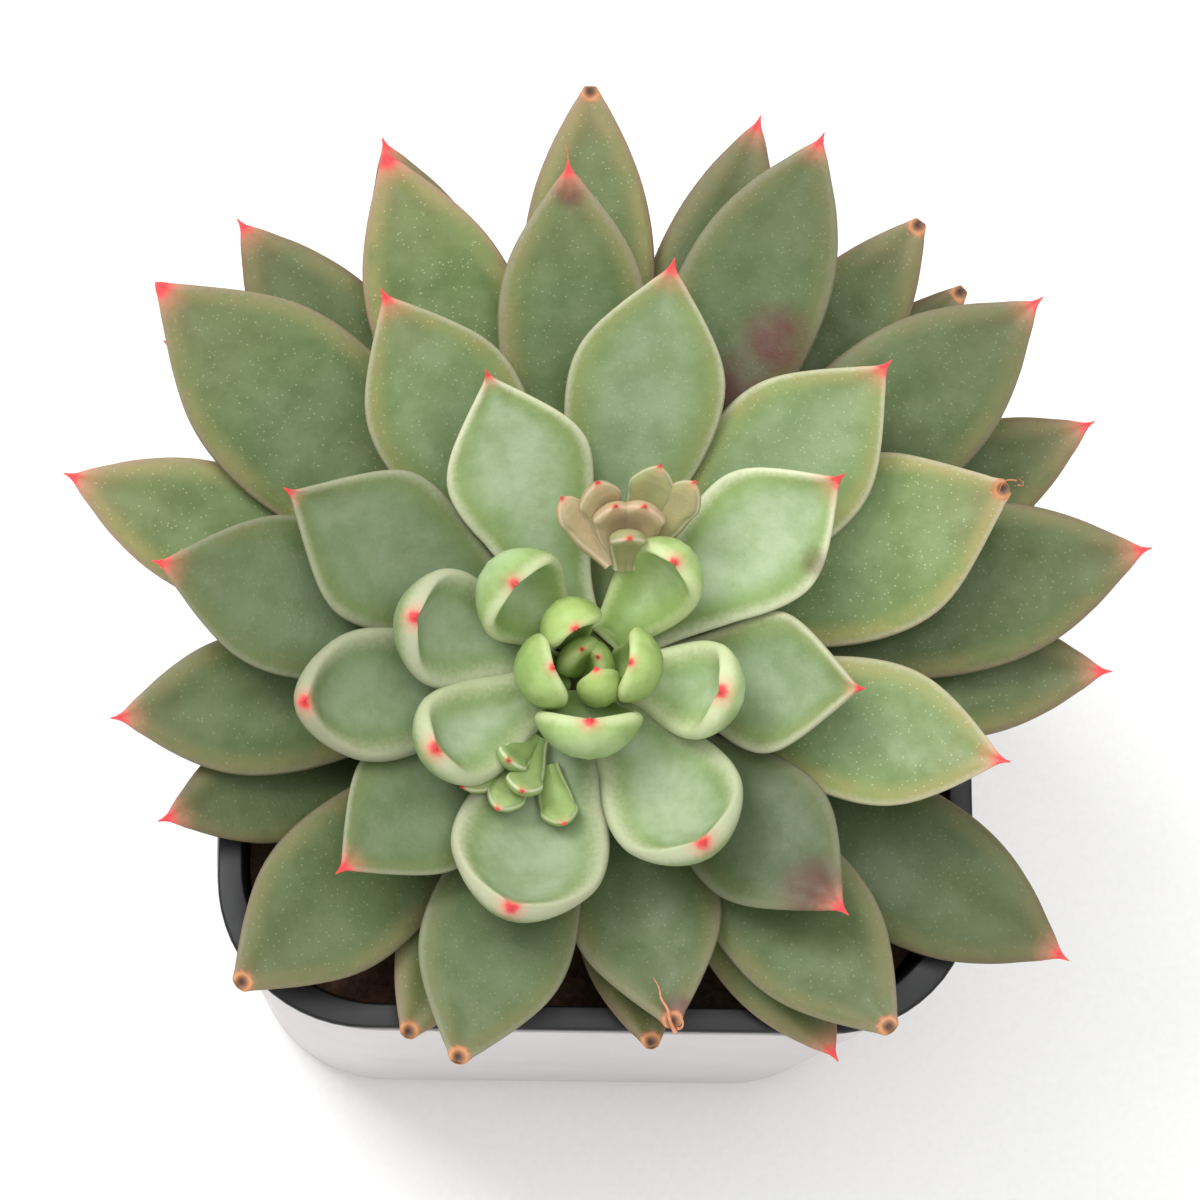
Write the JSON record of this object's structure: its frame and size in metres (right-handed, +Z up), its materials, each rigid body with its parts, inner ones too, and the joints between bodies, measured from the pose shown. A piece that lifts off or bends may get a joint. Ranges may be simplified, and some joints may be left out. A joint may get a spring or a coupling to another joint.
{
  "type": "potted succulent",
  "caption": "Rosette succulent with thick pointed leaves and small offsets, rooted in soil in a black nursery liner inside a square white cover pot.",
  "frame": {"origin": "centre of the pot's underside", "axes": "+Z up out of the pot, -Y towards the front, which the plant leans to, +X to the right"},
  "size_m": [0.1427, 0.133, 0.1215],
  "materials": {
    "white_pot": "white moulded plastic, satin",
    "black_liner": "black moulded plastic, satin",
    "potting_soil": "loose dark soil with coir and bark",
    "stem": "dull green-brown stem",
    "leaf": "fleshy waxy leaf with a pale edge and a red tip",
    "offset": "fleshy waxy small leaves, red-brown tips"
  },
  "bodies": {
    "root": {"cover_pot": "white_pot", "liner_pot": "black_liner", "soil": "potting_soil", "stem": "stem", "leaf_01": "leaf", "leaf_02": "leaf", "leaf_03": "leaf", "leaf_04": "leaf", "leaf_05": "leaf", "leaf_06": "leaf", "leaf_07": "leaf", "leaf_08": "leaf", "leaf_09": "leaf", "leaf_10": "leaf", "leaf_11": "leaf", "leaf_12": "leaf", "leaf_13": "leaf", "leaf_14": "leaf", "leaf_15": "leaf", "leaf_16": "leaf", "leaf_17": "leaf", "leaf_18": "leaf", "leaf_19": "leaf", "leaf_20": "leaf", "leaf_21": "leaf", "leaf_22": "leaf", "leaf_23": "leaf", "leaf_24": "leaf", "leaf_25": "leaf", "leaf_26": "leaf", "leaf_27": "leaf", "leaf_28": "leaf", "leaf_29": "leaf", "leaf_30": "leaf", "leaf_31": "leaf", "leaf_32": "leaf", "leaf_33": "leaf", "leaf_34": "leaf", "leaf_35": "leaf", "leaf_36": "leaf", "leaf_37": "leaf", "leaf_38": "leaf", "leaf_39": "leaf", "leaf_40": "leaf", "leaf_41": "leaf", "leaf_42": "leaf", "leaf_43": "leaf", "leaf_44": "leaf", "leaf_45": "leaf", "leaf_46": "leaf", "leaf_47": "leaf", "leaf_48": "leaf", "leaf_49": "leaf", "leaf_50": "leaf", "leaf_51": "leaf", "leaf_52": "leaf", "pup_back": "offset", "pup_front": "offset"}
  },
  "joints": []
}
